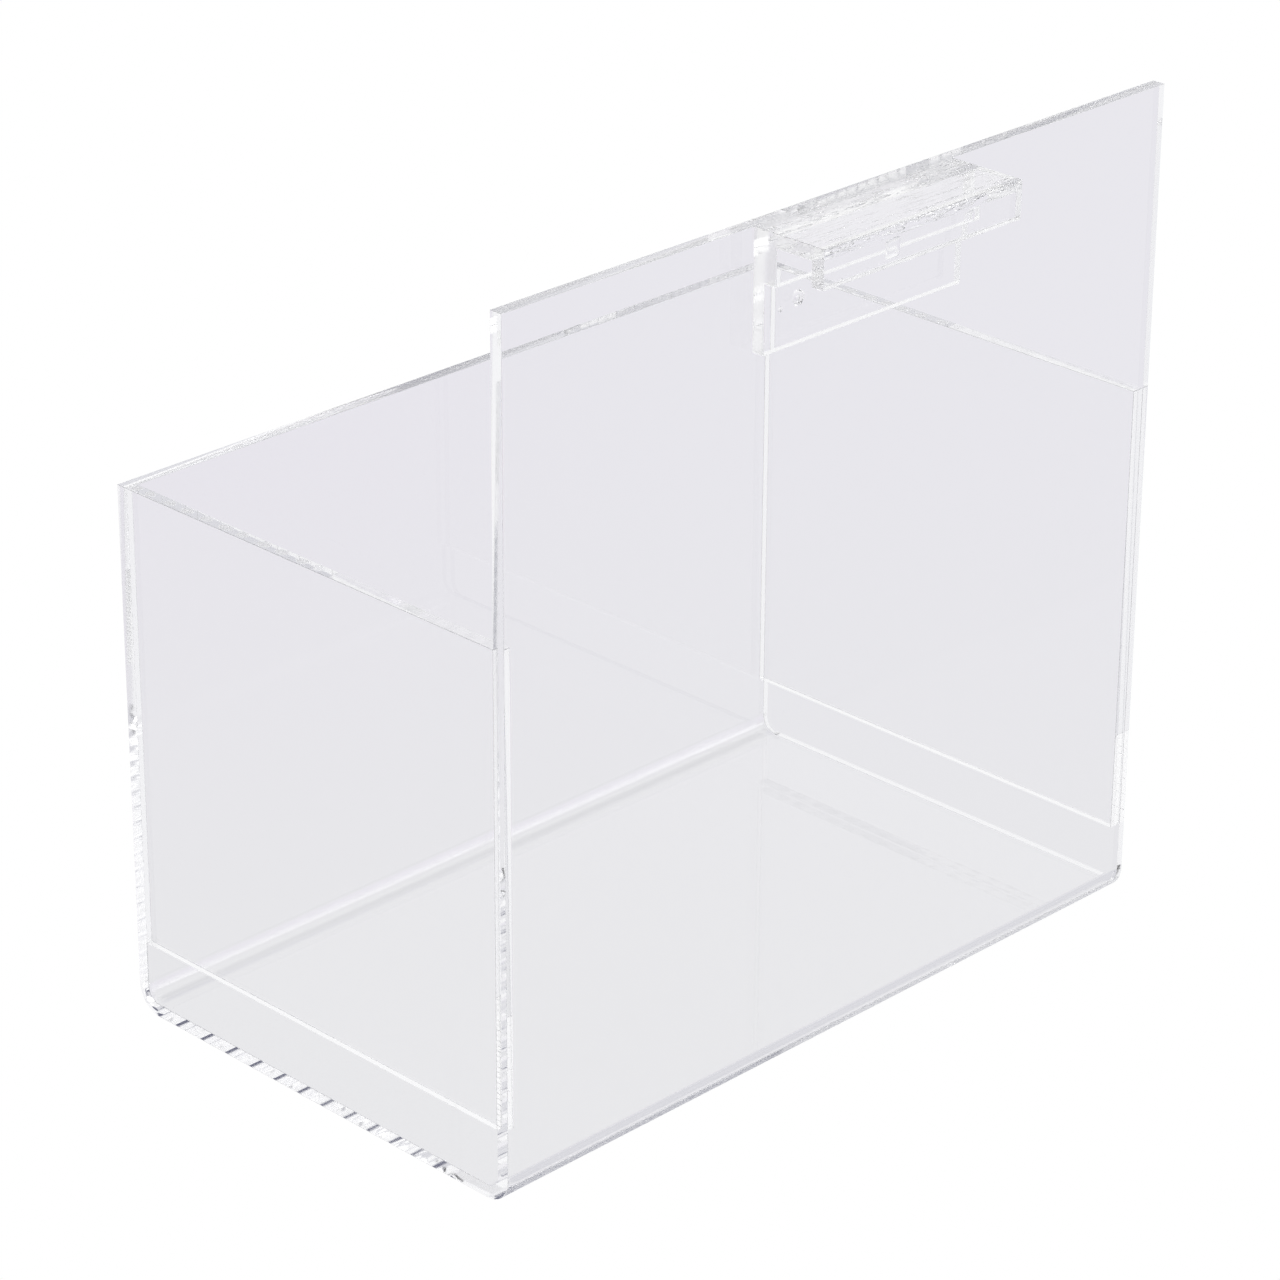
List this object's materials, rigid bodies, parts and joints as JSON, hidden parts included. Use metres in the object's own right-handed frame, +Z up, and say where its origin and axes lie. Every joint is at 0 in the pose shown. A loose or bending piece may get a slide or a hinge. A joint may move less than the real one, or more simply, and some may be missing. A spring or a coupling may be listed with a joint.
{
  "type": "hanging magazine file bin",
  "caption": "Open-top clear acrylic bin for magazines and files, with a tall back, a low front and a hook on the back for hanging it over a rail.",
  "frame": {"origin": "centre of the footprint on the resting plane, hanger included", "axes": "+Z up, +X along the width, +Y from the low front panel towards the tall back panel and its hanger"},
  "size_m": [0.25, 0.174, 0.25],
  "materials": {
    "clear_acrylic": "polished",
    "hanger_acrylic": "polished"
  },
  "bodies": {
    "root": {"bent_body": "clear_acrylic", "end_panel_left": "clear_acrylic", "end_panel_right": "clear_acrylic", "hanger_plate": "hanger_acrylic", "hanger_spacer": "hanger_acrylic", "hanger_bridge": "hanger_acrylic", "hanger_lip": "hanger_acrylic"}
  },
  "joints": []
}
